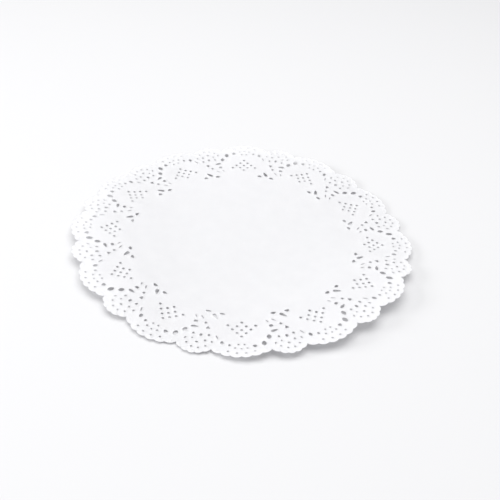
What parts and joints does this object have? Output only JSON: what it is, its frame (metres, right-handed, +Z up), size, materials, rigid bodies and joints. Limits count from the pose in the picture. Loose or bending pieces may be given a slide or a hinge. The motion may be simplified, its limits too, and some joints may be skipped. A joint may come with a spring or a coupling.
{
  "type": "paper doily",
  "caption": "Round flat paper doily with a plain middle, a die-cut lace border and a scalloped rim.",
  "frame": {"origin": "centre of the doily on its underside, at the surface that it lies on", "axes": "+Z up, square to the sheet; -Y points along the axis of one large lobe of the rim"},
  "size_m": [0.2666, 0.2666, 0.001],
  "materials": {
    "paper": "matt, bright white, embossed and die-cut"
  },
  "bodies": {
    "root": {"lace_sheet": "paper"}
  },
  "joints": []
}
